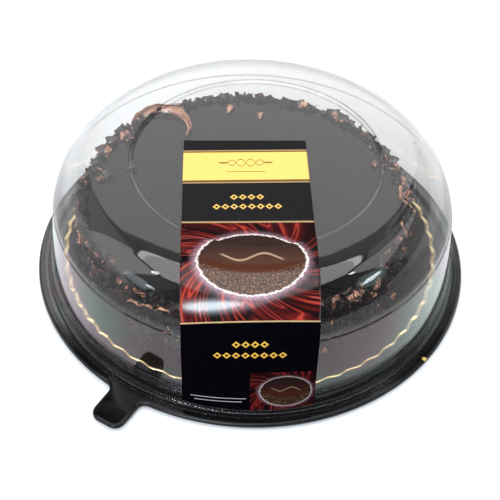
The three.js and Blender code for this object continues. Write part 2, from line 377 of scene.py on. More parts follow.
# The studio, as fields bounded by planes through the pack: a direction lies in a field where it is on
# the inner side of all its planes, whose inward normals are given. Outside the fields it is dark, and
# near the horizon pale: up to an elevation from low to high, within a margin of some planes. Each level
# is a radiance, and angles are in degrees.
studio = {
    "dark": 0.11,
    "pale": 1.0,
    "horizons": ((((0, 1, 0),), -20, 9, 13), ((), 0, 2.5, 4), (((-1, 0, 0),), 62, 16, 20)),
    "sides": {"level": 0.42, "planes": ((0.0, 1.0, 0.10),)},
    "leftPanel": {"level": 1.5, "planes": ((-0.237, -0.972, 0.0), (-0.21, 1.0, 0.22), (-1.0, 0.0, 0.0))},
    "rightPanel": {
        "level": 1.35,
        "planes": ((1.0, -0.55, -0.70), (0.06, 1.0, 0.206), (-0.62, -0.10, 0.95)),
    },
    "backdrop": {
        "level": 1.08,
        "planes": ((0.66, 0.714, -0.247), (-0.74, 0.62, -0.265), (-0.22, 1.0, -0.85), (0.0, 1.0, 0.0)),
    },
    "gap": {
        "level": 0.02,
        "planes": ((0.345, -0.06, 0.247), (-0.48, -0.10, 0.26), (0.22, -1.0, 0.85), (0.0, 1.0, 0.0)),
    },
    "overhead": {
        "level": 2.2,
        "planes": (
            (0.0, -1.0, 0.637), (0.64, -0.77, 0.533), (-0.83, -0.557, 0.588), (1.0, 0.0, 0.79),
            (-1.0, 0.0, 0.667), (-0.81, 0.58, 0.672), (0.66, 0.755, 0.833), (0.0, 1.0, 0.80),
        ),
        "rimPlanes": 3,
        "rimLevel": 4.0,
        "rimWidth": 2.4,
        "border": 2.2,
    },
    "seams": {
        "level": 0.02,
        "halfWidth": 1.0,
        "spacing": 1.6,
        "lines": (
            ((0.66, 0.714, -0.247), ((0.0, 1.0, 0.0), (0.0, 1.30, -1.0))),
            ((0.345, -0.06, 0.247), ((0.0, 1.0, 0.0), (0.0, -1.0, 0.85))),
            ((-0.74, 0.62, -0.265), ((0.0, 1.0, 0.0), (0.0, 1.20, -1.0))),
            ((-0.48, -0.10, 0.26), ((0.0, 1.0, 0.0), (0.0, -1.0, 0.85))),
            ((0.324, 0.448, 0.060), ((0.0, -1.0, 0.0), (-0.62, 0.0, 1.0), (0.0, 0.0, 1.0))),
            ((0.256, -0.304, -0.036), ((0.0, -1.0, 0.0), (0.95, 0.0, 1.0), (0.0, 0.0, 1.0))),
        ),
    },
    "floor": 0.86,
}
# Lamps: azimuth from +X, elevation, half width, half height, turn of the width upwards, all in degrees,
# then the radiance and the colour.
lamps = (
    (-156.4, 25.3, 8.5, 5.8, 8.0, 1.5, (0.75, 0.90, 1.0)),
    (-148.2, 27.7, 3.0, 1.2, 10.0, 6.5, (0.95, 0.98, 1.0)),
    (-20.9, 30.2, 6.3, 2.6, 0.0, 8.0, (0.85, 0.95, 1.0)),
    (-20.9, 30.2, 8.0, 10.0, 0.0, 0.7, (0.55, 0.95, 0.95)),
    (-159.1, 48.1, 1.8, 3.0, 0.0, 9.0, (1.0, 1.0, 1.0)),
    (-16.4, 51.5, 1.6, 2.2, 0.0, 9.0, (1.0, 1.0, 1.0)),
    (-114.0, 34.5, 18.0, 5.2, 46.0, 21.0, (0.80, 0.93, 1.0)),
    (-108.0, 39.0, 29.0, 9.5, 46.0, 4.5, (0.80, 0.84, 1.0)),
)


def makeStudio():
    world = bpy.data.worlds.new("studio")
    scene.world = world
    nodes = Nodes(world)
    ray = nodes.place("Generated")
    height = nodes.parts(ray)[2]
    soft = math.radians(0.5)

    def sine(degrees):
        return math.sin(math.radians(degrees))

    # sine of the angle by which a direction lies inside a plane
    def depth(plane):
        return nodes.along(ray, Vector(plane).normalized())

    # 1 where a direction lies inside all the planes by an angle in degrees
    def within(planes, margin=0.0):
        edge = sine(margin)
        share = 1.0
        for plane in planes:
            share = share * depth(plane).step(edge - soft, edge + soft)
        return share

    def cover(level, share, other):
        return level + share * (other - level)

    level = 0.0 * height + studio["dark"]
    for name in ("sides", "leftPanel", "rightPanel", "backdrop", "gap"):
        level = cover(level, within(studio[name]["planes"]), studio[name]["level"])
    seams = studio["seams"]
    for plane, limits in seams["lines"]:
        apart = abs(abs(depth(plane)) - sine(seams["spacing"]))
        line = apart.step(sine(seams["halfWidth"]), soft * 0.6) * within(limits)
        level = cover(level, line, seams["level"])
    overhead = studio["overhead"]
    planes = overhead["planes"]
    level = cover(level, within(planes, -overhead["border"]), studio["gap"]["level"])
    level = cover(level, within(planes), overhead["level"])
    hot = within(planes) * (1 - within(planes[:overhead["rimPlanes"]], overhead["rimWidth"]))
    level = cover(level, hot, overhead["rimLevel"])
    for planes, margin, low, high in studio["horizons"]:
        share = height.step(sine(high), sine(low)) * within(planes, margin)
        level = cover(level, share, studio["pale"])
    light = nodes.joined(level, level, level)
    for azimuth, elevation, wide, tall, turn, strength, tint in lamps:
        outward = sine(elevation + 90)
        centre = Vector((sine(azimuth + 90) * outward, sine(azimuth) * outward, sine(elevation)))
        flat = Vector((0, 0, 1)).cross(centre).normalized()
        upward = centre.cross(flat)
        lean = math.radians(turn)
        aside = flat * math.cos(lean) + upward * math.sin(lean)
        onward = upward * math.cos(lean) - flat * math.sin(lean)
        across = nodes.along(ray, aside) / sine(wide)
        along = nodes.along(ray, onward) / sine(tall)
        ahead = nodes.along(ray, centre) > 0
        lamp = (across * across + along * along).step(1.15, 0.6) * ahead * strength
        light = nodes.vectors("ADD", {0: light, 1: nodes.vectors("SCALE", {0: tint, "Scale": lamp})})
    background = nodes.add("ShaderNodeBackground", None, {"Color": light})
    nodes.finish(background, "ShaderNodeOutputWorld")


def makeFloor():
    nodes, where = newMaterial("palePaper")
    grain = nodes.noise(where, 40.0, detail=2.0)
    white = studio["floor"]
    colour = nodes.blend(grain, (white, white, white), (white * 0.98, white * 0.98, white * 0.975))
    material = nodes.finish(nodes.principled(colour, None, 0.9, Specular_IOR_Level=0.1))
    mesh = bpy.data.meshes.new("floor")
    reach = 30.0
    corners = [(-reach, -reach, 0), (reach, -reach, 0), (reach, reach, 0), (-reach, reach, 0)]
    mesh.from_pydata(corners, [], [(0, 1, 2, 3)])
    mesh.materials.append(material)
    floor = bpy.data.objects.new("floor", mesh)
    scene.collection.objects.link(floor)


makeStudio()
makeFloor()
scene.view_settings.view_transform = "Standard"
print("studio set")


# The black tray. Its upper face runs from the turned-down lip over the rim, the groove, the ledge that
# carries the lid's flange and the inner ring to the platform.
tray = {
    "radius": trayHigh[0],
    "wall": 1.0,
    "rimTop": 4.8,
    "lipBottom": 2.2,
    "rimEdge": 1.4,
    "rimInner": 131.0,
    "grooveOuter": 130.0,
    "grooveInner": 125.4,
    "ribOuter": 124.0,
    "ribInner": 122.2,
    "ribTop": 9.8,
    "valleyRadius": 121.4,
    "valleyHeight": 9.2,
    "platformRadius": 118.6,
    "platformTop": trayHigh[2],
    "innerEnd": 60.0,
    "corner": 0.75,
    "steps": 300,
}
tab = {
    "azimuth": -122.8,
    "halfWidth": 10.4,
    "reach": 160.0,
    "corner": 6.5,
    "rootSpread": 4.1,
    "rootLength": 4.2,
    "spacing": 0.55,
}


def blackPlastic():
    nodes, where = newMaterial("blackTrayPlastic")
    smears = nodes.noise(where, 22.0, detail=4.0, rough=0.6, bend=0.6)
    flow = nodes.noise(where, 260.0, detail=2.0)
    roughness = 0.07 + smears.step(0.35, 0.8) * 0.12
    tone = nodes.blend(smears.step(0.45, 0.75), (0.003, 0.003, 0.0035), (0.010, 0.008, 0.009))
    normal = nodes.bump(smears + flow * 0.05, 0.0004, 0.35)
    # painted shade: a copy with weaker gloss (IOR 1.33 against 2.0) is mixed in towards the front,
    # darkening the tray there as if the lid's wall shaded it
    bright, plain = (nodes.principled(tone, normal, roughness, IOR=ior) for ior in (2.0, 1.33))
    front = (nodes.parts(where)[1] / mm).step(-50.0, -95.0)
    return nodes.finish(nodes.mix(front, bright, plain))


# The rim's outline seen from above: a circle with the lifting tab, a rounded tongue whose sides meet the
# circle in quadratic fillets. Its points are spaced evenly along the line, closer together on the tab.
def trayOutline():
    half = tab["halfWidth"]
    spread = half + tab["rootSpread"]
    root = tray["radius"] - 0.2
    start = math.sqrt(tray["radius"] ** 2 - spread ** 2)
    corners = np.array([[start, -spread], [root + 0.5, -half], [root + tab["rootLength"], -half]])
    fillet = curved(*corners, 16)
    turn = np.linspace(-math.pi / 2, 0, 16)[:, None]
    centre = np.array([tab["reach"] - tab["corner"], -half + tab["corner"]])
    corner = centre + tab["corner"] * np.hstack([np.cos(turn), np.sin(turn)])
    side = np.vstack([fillet, corner])
    tongue = np.vstack([side, side[::-1] * [1, -1]])
    edge = math.asin(spread / tray["radius"])
    sweep = np.linspace(edge, fullTurn - edge, 1200)[1:-1, None]
    circle = tray["radius"] * np.hstack([np.cos(sweep), np.sin(sweep)])
    return evenly(tongue, tab["spacing"]), evenly(circle, fullTurn * tray["radius"] / tray["steps"])


# How far along a line of points each one lies.
def runOf(line):
    return np.concatenate([[0], np.cumsum(np.linalg.norm(np.diff(line, axis=0), axis=1))])


# Points at equal steps along a line of points.
def evenly(line, spacing):
    run = runOf(line)
    stops = np.linspace(0, run[-1], max(2, round(run[-1] / spacing)) + 1)
    return np.stack([np.interp(stops, run, line[:, axis]) for axis in range(line.shape[1])], -1)


# Each point lies on the outline moved inwards by an inset, or on a circle, or on the straight line
# between those two, at the height that the profile gives.
def makeTray():
    tongue, circle = trayOutline()
    outline = np.vstack([tongue, circle])
    ahead = np.roll(outline, -1, 0) - np.roll(outline, 1, 0)
    ahead /= np.linalg.norm(ahead, axis=1)[:, None]
    inward = np.stack([-ahead[:, 1], ahead[:, 0]], -1)
    away = outline / np.linalg.norm(outline, axis=1)[:, None]
    edge = tray["rimEdge"]
    wall = tray["wall"]
    rimTop = tray["rimTop"]
    turnIn = tray["rimInner"] + 1.5

    def onOutline(inset, height):
        flat = outline + inward * inset
        return np.hstack([flat, np.full((len(flat), 1), height)])

    def onCircle(radius, height):
        return np.hstack([away * radius, np.full((len(away), 1), height)])

    upper = rounded([
        (turnIn, rimTop),
        (tray["rimInner"], rimTop),
        (tray["grooveOuter"], wall),
        (tray["grooveInner"], wall),
        (tray["ribOuter"], tray["ribTop"]),
        (tray["ribInner"], tray["ribTop"]),
        (tray["valleyRadius"], tray["valleyHeight"]),
        (tray["platformRadius"], tray["platformTop"]),
        (tray["innerEnd"], tray["platformTop"]),
    ], tray["corner"])
    under = rounded([
        (tray["innerEnd"], tray["platformTop"] - wall),
        (tray["platformRadius"] - wall / 2, tray["platformTop"] - wall),
        (tray["valleyRadius"], tray["valleyHeight"] - wall),
        (tray["ribOuter"] - wall, tray["ribTop"] - wall),
        (tray["grooveInner"] - wall, 0.0),
        (tray["grooveOuter"] + wall, 0.0),
        (tray["rimInner"] + wall, rimTop - wall),
        (turnIn, rimTop - wall),
    ], tray["corner"])
    lip = rounded([
        (wall * 1.4, rimTop - wall),
        (wall, rimTop - wall * 1.3),
        (wall, tray["lipBottom"]),
        (0.0, tray["lipBottom"]),
        (0.0, rimTop - edge),
        (edge * 0.29, rimTop - edge * 0.29),
        (edge, rimTop),
        (edge * 1.6, rimTop),
    ], 0.6)
    rows = [onCircle(r, z) for r, z in supported(under)]
    below = rows[-1]
    ring = [onOutline(inset, z) for inset, z in lip]
    share = np.linspace(0, 1, 8)[1:-1]
    rows += [below * (1 - s) + ring[0] * s for s in share]
    rows += ring
    top = onCircle(*upper[0])
    rows += [ring[-1] * (1 - s) + top * s for s in share]
    rows += [onCircle(r, z) for r, z in supported(upper)]
    grid = np.stack(rows)
    turn = math.radians(tab["azimuth"])
    spin = np.array([[math.cos(turn), -math.sin(turn)], [math.sin(turn), math.cos(turn)]])
    grid[..., :2] = grid[..., :2] @ spin.T
    poles = (0, 0, tray["platformTop"] - wall), (0, 0, tray["platformTop"])
    points, faces = cappedGrid(grid, *poles)
    addPiece("tray_body", points, faces, blackPlastic(), "base_tray")


makeTray()


# The clear lid: one thin sheet with a flange, a short skirt, a sloped wall, a bead where the wall meets
# the round shoulder, and a sunk top. Places are pairs of radius and height.
lid = {
    "wall": 0.5,
    "flangeRadius": lidHigh[0],
    "flangeInner": 131.2,
    "flangeTop": 5.9,
    "skirtFoot": (130.1, 7.2),
    "skirtTop": (129.1, 13.8),
    "wallFoot": (128.0, 14.6),
    "wallTop": (122.9, 54.2),
    "shoulderFoot": (122.1, 55.2),
    "shoulderPower": 1.3,
    "shoulderSteps": 44,
    "topRadius": 97.0,
    "top": lidHigh[2],
    "easeStart": 88.0,
    "easeDrop": 0.45,
    "recessRadius": 75.2,
    "recessDepth": 1.8,
    "recessSlope": 0.9,
    "recessShift": 1.3,
    "innerEnd": 60.0,
    "corner": 0.5,
    "recessCorner": 0.7,
    "steps": 256,
}


# From the bead up to the axis. Over the shoulder, r = topRadius + width cos(t)^p and
# z = foot + rise sin(t)^p, with t from 0 to a quarter turn. The outer part of the top eases down
# towards it by easeDrop u^2, with u from 0 to 1.
def lidCrown():
    t = np.linspace(0, math.pi / 2, lid["shoulderSteps"])[:, None]
    power = lid["shoulderPower"]
    footRadius, foot = lid["shoulderFoot"]
    across = lid["topRadius"] + (footRadius - lid["topRadius"]) * np.cos(t) ** power
    up = foot + (lid["top"] - lid["easeDrop"] - foot) * np.sin(t) ** power
    u = np.linspace(1, 0, 10)[:, None]
    easeWidth = lid["topRadius"] - lid["easeStart"]
    ease = np.hstack([lid["easeStart"] + easeWidth * u, lid["top"] - lid["easeDrop"] * u ** 2])
    recess = rounded([
        tuple(ease[-1]),
        (lid["recessRadius"] + lid["recessSlope"], lid["top"]),
        (lid["recessRadius"] - lid["recessSlope"], lid["top"] - lid["recessDepth"]),
        (lid["innerEnd"], lid["top"] - lid["recessDepth"]),
    ], lid["recessCorner"])
    return np.vstack([np.hstack([across, up])[1:-1], ease[:-1], recess])


def lidOuter():
    crown = lidCrown()
    wall = rounded([
        (lid["flangeRadius"], lid["flangeTop"]),
        (lid["flangeInner"], lid["flangeTop"]),
        lid["skirtFoot"],
        lid["skirtTop"],
        lid["wallFoot"],
        lid["wallTop"],
        lid["shoulderFoot"],
        tuple(crown[0]),
    ], lid["corner"])
    return np.vstack([wall[:-1], crown])


# The sunk top lies a little to one side: how far a point at a given radius moves along X.
def topShift(radius):
    share = np.clip((lid["topRadius"] - radius) / (lid["topRadius"] - lid["recessRadius"] - 2), 0, 1)
    return lid["recessShift"] * share * share * (3 - 2 * share)


# A face of the sheet lets light through but for the gloss, 0.045 + 0.955 facing^5, of which a belt at the
# foot of the shoulder keeps less, as painted shade on its reflection. A near-black shade is painted in
# where the sheet bends and at grazing angles high on the shoulder, and low on the wall the gloss is tinted
# in soft pink and green patches.
def clearPlastic():
    nodes, where = newMaterial("clearLidPlastic")
    forward, height = (part / mm for part in nodes.parts(where)[1:])
    facing = nodes.add("ShaderNodeLayerWeight", None, {"Blend": 0.5}, output="Facing")
    bend = nodes.attribute("bend")
    clouds = nodes.noise(where, 24.0, detail=2.0, bend=0.8)
    ripple = nodes.noise(where, 45.0, detail=1.0)
    patches = nodes.blend(clouds.step(0.40, 0.60), (1.0, 0.83, 0.90), (0.84, 1.0, 0.92))
    tint = nodes.blend(height.step(60.0, 50.0), (1.0, 0.99, 0.99), patches)
    normal = nodes.bump(ripple, 0.0005, 0.2)
    mirror = nodes.principled(tint, normal, 0.03, Metallic=1.0)
    through = nodes.add("ShaderNodeBsdfTransparent", None, {"Color": (0.966, 0.964, 0.962, 1.0)})
    # painted shade on the reflection: the belt at the foot of the shoulder keeps less gloss
    clear = height.step(55.0, 60.0) * height.step(74.0, 69.0)
    # the flange's front stands in the shade of the wall above it
    shaded = height.step(22.0, 16.0) * forward.step(-50.0, -95.0)
    gloss = (0.045 + facing ** 5 * 0.955) * (1 - 0.6 * clear) * (1 - 0.85 * shaded)
    film = nodes.mix(gloss, through, mirror)
    haze = nodes.principled((0.42, 0.42, 0.43), None, 0.35)
    dull = 0.003 + facing ** 3 * 0.05 + facing ** 2 * 0.15 * height.step(56.0, 72.0)
    shade = nodes.principled((0.02, 0.02, 0.022), None, 0.25)
    # painted shade: near-black mixed in at bends and at grazing angles high on the shoulder
    dim = (bend * 0.3).most(facing ** 3 * 0.14 * height.step(52.0, 66.0))
    return nodes.finish(nodes.mix(dim, nodes.mix(dull, film, haze), shade))


def makeLid():
    outer = supported(lidOuter())
    inner = offsetLine(outer, -lid["wall"])[::-1]
    profile = np.vstack([inner, outer])
    grid = turnedGrid(profile, lid["steps"])
    grid[..., 0] += topShift(profile[:, :1])
    top = lid["top"] - lid["recessDepth"]
    poles = (lid["recessShift"], 0, top - lid["wall"]), (lid["recessShift"], 0, top)
    points, faces = cappedGrid(grid, *poles)
    # how sharply the sheet bends, from the profile's turn for each millimetre of its length
    along = np.diff(profile, axis=0)
    heading = np.unwrap(np.arctan2(along[:, 1], along[:, 0]))
    length = np.linalg.norm(along, axis=1)
    turnRate = np.abs(np.diff(heading)) / (0.5 * (length[1:] + length[:-1]))
    sharp = np.concatenate([[0], np.clip(turnRate * 1.2 - 0.1, 0, 1), [0]])
    bend = np.concatenate([np.repeat(sharp, lid["steps"]), [0, 0]])
    addPiece("lid_shell", points, faces, clearPlastic(), "dome_lid", values={"bend": bend})


makeLid()


# The card strip. Lengthwise it follows the cut of the lid by an upright plane at each x.
label = {
    "left": labelLow[0],
    "right": labelHigh[0],
    "topEdge": labelHigh[1],
    "bottom": labelLow[2],
    "bridgeTop": 25.0,
    "clear": 0.3,
    "thickness": 0.35,
    "columns": 61,
    "rows": 420,
}


# The point at height z on the straight line between two places of the lid's profile.
def placeAt(lower, upper, z):
    share = (z - lower[1]) / (upper[1] - lower[1])
    return (lower[0] + (upper[0] - lower[0]) * share, z)


# One line of the strip at x: y = -sqrt(r^2 - x^2) on the lid's profile, flat across the sunk top, and
# straight from the skirt to the wall, past the step between them.
def stripLine(x, clear):
    crown = lidCrown()
    foot = rounded([
        placeAt(lid["skirtFoot"], lid["skirtTop"], label["bottom"]),
        lid["skirtTop"],
        placeAt(lid["wallFoot"], lid["wallTop"], label["bridgeTop"]),
        lid["wallTop"],
        lid["shoulderFoot"],
        tuple(crown[0]),
    ], lid["corner"] * 2)
    profile = offsetLine(np.vstack([foot[:-1], crown[:-1]]), clear)[::-1]
    y = -np.sqrt(profile[:, 0] ** 2 - (x - topShift(profile[:, 0])) ** 2)
    start = [[label["topEdge"], lid["top"] - lid["recessDepth"] + clear]]
    return np.vstack([start, np.stack([y, profile[:, 1]], -1)])


def stripFace(clear):
    columns = []
    lengths = []
    for x in np.linspace(label["left"], label["right"], label["columns"]):
        line = stripLine(x, clear)
        run = runOf(line)
        stops = np.linspace(0, run[-1], label["rows"])
        y = np.interp(stops, run, line[:, 0])
        z = np.interp(stops, run, line[:, 1])
        columns.append(np.stack([np.full_like(y, x), y, z], -1))
        lengths.append(stops)
    return np.stack(columns, 1), np.stack(lengths, 1)


def makeLabel():
    outer, run = stripFace(label["clear"] + label["thickness"])
    inner, _ = stripFace(label["clear"])
    points = np.concatenate([outer.reshape(-1, 3), inner.reshape(-1, 3)])
    across = np.broadcast_to(outer[..., 0] - (label["left"] + label["right"]) / 2, run.shape)
    uv = np.stack([across, run], -1).reshape(-1, 2) / 100
    both = np.vstack([uv, uv])
    faces = [sheetFaces(*run.shape)]
    addPiece("label_card", points, faces, labelPrint(), "label_strip", uv=both)


# The print, in millimetres: x across from the strip's middle and v down from its top edge, bent a
# little so that the rules run as they are printed. Bands are pairs of v, a lozenge row has its v, its
# half length and its ink, and a picture its oval's middle and half sizes, and how far it is dimmed.
# The fine rules have their middle, the first one's v and bow, and each one's offset and half length.
artwork = {
    "goldBand": (11.0, 35.8),
    "rules": (
        (9.0, 9.9, "paleGold"), (37.5, 38.4, "paleGold"), (70.2, 71.3, "paleGold"),
        (9.9, 11.0, "copper"), (35.8, 37.5, "copper"), (71.3, 71.8, "copper"),
    ),
    "scroll": {"middle": 20.5, "swell": 3.2, "fade": (4.0, 17.0), "waves": 0.55, "ends": (15.5, 16.5)},
    "underline": {"middle": 28.5, "ends": (12.0, 11.0)},
    "upperRows": ((50.4, 10.0, "bright"), (58.3, 20.0, "bright")),
    "lowerRows": ((151.2, 10.0, "dimGold"), (158.8, 20.0, "dimGold")),
    "picture": (71.6, 137.2),
    "oval": ((1.3, 102.3), (29.4, 21.6), 0.0),
    "smallPicture": ((0.2, 0.8), (171.4, 172.6)),
    "smallOval": ((20.4, 186.6), (14.4, 11.0), 0.62),
    "footStart": (137.1, 137.3),
    "goldRule": (137.2, 138.0),
    "fineRules": {"middle": -17.0, "first": 192.0, "bow": 4.7, "rows": ((0.0, 15.2), (2.4, 13.0))},
    "gloss": {"least": 0.12, "rise": (84.0, 122.0), "end": (139.0, 136.5)},
    "skew": 0.016,
    "skewEnd": (40.0, 95.0),
    "bow": 0.9,
    "halfWidth": 37.1,
}
ink = {
    "charcoal": (0.0125, 0.012, 0.0125),
    "jet": (0.0012, 0.0012, 0.0022),
    "gold": (0.93, 0.60, 0.16),
    "paleGold": (0.46, 0.31, 0.155),
    "copper": (0.16, 0.085, 0.022),
    "bright": (0.80, 0.50, 0.13),
    "dimGold": (0.62, 0.36, 0.06),
    "brown": (0.03, 0.02, 0.012),
    "grey": (0.40, 0.40, 0.42),
}


def labelPrint():
    nodes, where = newMaterial("printedCard", "UV")
    blend = nodes.blend
    x, v = (part * 100.0 for part in nodes.parts(where)[:2])
    side = x / artwork["halfWidth"]
    straight = v
    v = v + x * artwork["skew"] * v.step(artwork["skewEnd"][1], artwork["skewEnd"][0])
    v = v + side * side * artwork["bow"] * v.step(*artwork["picture"])

    def band(limits, soft=0.12):
        low, high = limits
        return v.step(low - soft, low + soft) * (1 - v.step(high - soft, high + soft))

    def paint(share, tone):
        nonlocal colour
        colour = blend(share, colour, tone)

    colour = blend(band(artwork["goldBand"]), ink["charcoal"], ink["gold"])
    for low, high, name in artwork["rules"]:
        paint(band((low, high)), ink[name])
    # braided scroll on the gold band: two mirrored waves that fade to the sides, over a plain rule
    scroll = artwork["scroll"]
    swell = scroll["swell"] * (1 - abs(x).step(*scroll["fade"]))
    for way in (1, -1):
        off = abs(v - scroll["middle"] - (x * scroll["waves"]).wave() * swell * way)
        paint((1 - off.step(0.16, 0.42)) * (1 - abs(x).step(*scroll["ends"])), ink["brown"])
    underline = artwork["underline"]
    below = abs(v - underline["middle"])
    paint(below.step(0.32, 0.1) * abs(x).step(*underline["ends"]), ink["brown"])

    # rows of small lozenges: cell is the distance from the middle of one, across
    def lozenges(rows, pitch=5.0, size=2.3):
        cell = abs((x / pitch).maths("FRACT") - 0.5) * pitch
        for centre, reach, name in rows:
            distance = cell + abs(v - centre)
            shape = distance.step(size + 0.2, size - 0.2) * distance.step(size * 0.4, size * 0.4 + 0.3)
            paint(shape * abs(x).step(reach + 0.1, reach - 0.1), ink[name])

    lozenges(artwork["upperRows"])

    # folds: each where the noise takes a value, with its width, strength and colour
    folding = (
        (0.50, 0.060, 0.90, (0.130, 0.009, 0.007)),
        (0.40, 0.045, 0.85, (0.100, 0.007, 0.006)),
        (0.60, 0.045, 0.85, (0.110, 0.008, 0.007)),
        (0.50, 0.013, 0.85, (0.450, 0.050, 0.028)),
        (0.40, 0.009, 0.75, (0.420, 0.090, 0.065)),
        (0.60, 0.009, 0.75, (0.360, 0.040, 0.026)),
    )

    # the picture's place: dark red folds round a brown oval with a pale ragged rim and a thin drizzle.
    # away is 1 on the oval; the folds are creases where a stretched noise crosses its middle value.
    def picture(inside, middle, half, dim):
        dx = (x - middle[0]) / half[0]
        dv = (v - middle[1]) / half[1]
        away = (dx * dx + dv * dv) ** 0.5
        angle = dv.maths("ARCTAN2", dx) + away * 0.45
        spread = nodes.joined(angle.maths("COSINE") * 3.4, angle.wave() * 3.4, away * 0.35)
        folds = nodes.noise(spread, 1.0, detail=1.0, rough=0.5, bend=0.35)
        broad = nodes.noise(spread, 0.8, detail=1.0)
        red = blend(broad.step(0.45, 0.70), (0.003, 0.001, 0.002), (0.035, 0.003, 0.004))
        for value, width, strength, tone in folding:
            crease = 1 - abs(folds - value).step(0.001, width)
            red = blend(crease * strength, red, tone)
        torn = nodes.noise(nodes.joined(x, v, 4.0), 0.55, detail=3.0, rough=0.7, bend=0.4)
        ragged = away + (torn - 0.5) * 0.13
        glow = (1 - ragged.step(1.0, 1.24)) ** 2.0 * (0.55 + 0.45 * (dv - dx * 0.7).step(-0.6, 1.1))
        made = blend(glow * 0.8, red, (0.42, 0.27, 0.33))
        made = blend(1 - ragged.step(1.012, 1.035), made, (0.80, 0.69, 0.67))
        crumbs = nodes.noise(nodes.joined(x, v, 0.0), 0.8, detail=5.0, rough=0.75, bend=0.3)
        front = blend(crumbs.step(0.44, 0.72), (0.030, 0.016, 0.011), (0.36, 0.170, 0.095))
        top = blend(dv.step(-0.7, 0.3), (0.030, 0.015, 0.012), (0.075, 0.022, 0.010))
        edge = (dv + dx * dx * 0.45 + (crumbs - 0.5) * 0.2).step(0.40, 0.50)
        cakeTone = blend(edge, top, front)
        drizzle = 1 - abs(dv + 0.12 + (dx * 7.0).wave() * 0.12).step(0.015, 0.05)
        cakeTone = blend(drizzle * (1 - abs(dx).step(0.5, 0.62)) * 0.7, cakeTone, (0.52, 0.36, 0.22))
        made = blend(1 - ragged.step(0.97, 1.0), made, cakeTone)
        paint(inside, blend(dim, made, (0.004, 0.002, 0.003)))

    picture(band(artwork["picture"]), *artwork["oval"])
    paint(v.step(*artwork["footStart"]), ink["jet"])
    paint(band(artwork["goldRule"]), ink["paleGold"])
    lozenges(artwork["lowerRows"])
    across, down = artwork["smallPicture"]
    picture(x.step(*across) * v.step(*down), *artwork["smallOval"])
    # two fine rules near the lower edge, which follow its bend
    fine = artwork["fineRules"]
    low = straight + side * side * fine["bow"] - fine["first"]
    for offset, reach in fine["rows"]:
        inside = abs(x - fine["middle"]).step(reach + 0.4, reach)
        paint(inside * abs(low - offset).step(0.32, 0.08), ink["grey"])
    fibres = nodes.noise(nodes.joined(x, v, 0.0), 0.35, detail=3.0)
    normal = nodes.bump(fibres, 0.0005, 0.2)
    # the gloss: faint on the flat top, full over the shoulder, none on the wall
    least = artwork["gloss"]["least"]
    gloss = (least + (1 - least) * v.step(*artwork["gloss"]["rise"])) * v.step(*artwork["gloss"]["end"])
    facts = {"Specular_IOR_Level": 0.0, "Coat_Weight": gloss, "Coat_Roughness": 0.13}
    return nodes.finish(nodes.principled(colour, normal, 0.5, **facts))


makeLabel()


# The gold board: a card disc under foil, whose edge is pressed into scallops with a flute behind each.
board = {
    "centre": (-0.8, 0.0),
    "radius": 119.9,
    "scallops": 54,
    "depth": 1.4,
    "fluteStart": 112.0,
    "fluteDepth": 0.5,
    "bottom": boardLow[2],
    "top": boardHigh[2],
    "stepsPerScallop": 14,
}


def goldFoil():
    nodes, where = newMaterial("goldFoilCard")
    creases = nodes.noise(where, 90.0, detail=3.0, bend=0.5)
    gold = nodes.blend(creases, (0.96, 0.80, 0.46), (0.90, 0.68, 0.33))
    # painted shade and light: the foil is painted near black inside its scalloped edge, where the cake
    # shades it, and its gold border reaches further in at the left and right sides, where more light falls
    sideways = abs(nodes.parts(where)[0] / mm) / board["radius"]
    border = (nodes.attribute("edge") + sideways.step(0.6, 0.95) * 0.22).step(0.86, 0.95)
    colour = nodes.blend(border, (0.022, 0.014, 0.006), gold)
    normal = nodes.bump(creases, 0.0006, 0.5)
    return nodes.finish(nodes.principled(colour, normal, 0.34 - border * 0.2, Metallic=1.0))


# The edge's radius is radius + depth/2 cos(n a), and the flutes rise and fall with the same wave, more
# and more towards the edge.
def makeBoard():
    steps = board["scallops"] * board["stepsPerScallop"]
    angle = around(steps)
    arch = (1 + np.cos(angle * board["scallops"])) / 2
    edge = board["radius"] + board["depth"] * (arch - 0.5)
    middleX, middleY = board["centre"]
    share = np.array([0.0, 0.25, 0.45, 0.6, 0.72, 0.82, 0.9, 0.95, 0.985, 1.0])
    thick = board["top"] - board["bottom"]
    rounding = thick * 0.5 * np.array([0, 0, 0, 0, 0, 0, 0, 0.1, 0.35, 1.0])
    bottom = board["bottom"] + board["fluteDepth"]

    def row(part, height):
        r = board["fluteStart"] + (edge - board["fluteStart"]) * part
        z = height - board["fluteDepth"] * part ** 2 * (1 - arch)
        return np.stack([middleX + r * np.cos(angle), middleY + r * np.sin(angle), z], -1)

    rows = [row(part, bottom + drop) for part, drop in zip(share, rounding)]
    rows += [row(part, board["top"] - drop) for part, drop in zip(share[::-1], rounding[::-1])]
    poles = (middleX, middleY, bottom), (middleX, middleY, board["top"])
    points, faces = cappedGrid(np.stack(rows), *poles)
    nearEdge = np.repeat(np.concatenate([share, share[::-1]]), steps)
    values = {"edge": np.concatenate([nearEdge, [0, 0]])}
    addPiece("board_foil", points, faces, goldFoil(), "cake_board", values=values)


makeBoard()


# The cake: a body whose side is spread with dark cream, and a cap of mirror glaze that runs over its rim.
cake = {
    "centre": (-4.8, 4.8),
    "radius": 102.0,
    "bottom": cakeLow[2],
    "top": 46.0,
    "crown": 0.8,
    "rimRound": 5.0,
    "footRound": 2.0,
    "glaze": 1.4,
    "hang": 6.0,
    "sag": 2.6,
    "bodyInset": 0.5,
    "bodyDrop": 0.6,
    "bodyInnerEnd": 60.0,
    "glazeInnerEnd": 20.0,
    "steps": 360,
}


def darkCream():
    nodes, where = newMaterial("cakeSide")
    grain = nodes.noise(where, 420.0, detail=4.0, rough=0.65)
    strokes = nodes.noise(where, 60.0, detail=3.0)
    colour = nodes.blend(strokes.step(0.35, 0.7), (0.010, 0.006, 0.004), (0.030, 0.017, 0.009))
    normal = nodes.bump(grain + strokes, 0.0010, 0.8)
    return nodes.finish(nodes.principled(colour, normal, 0.5, Specular_IOR_Level=0.15))


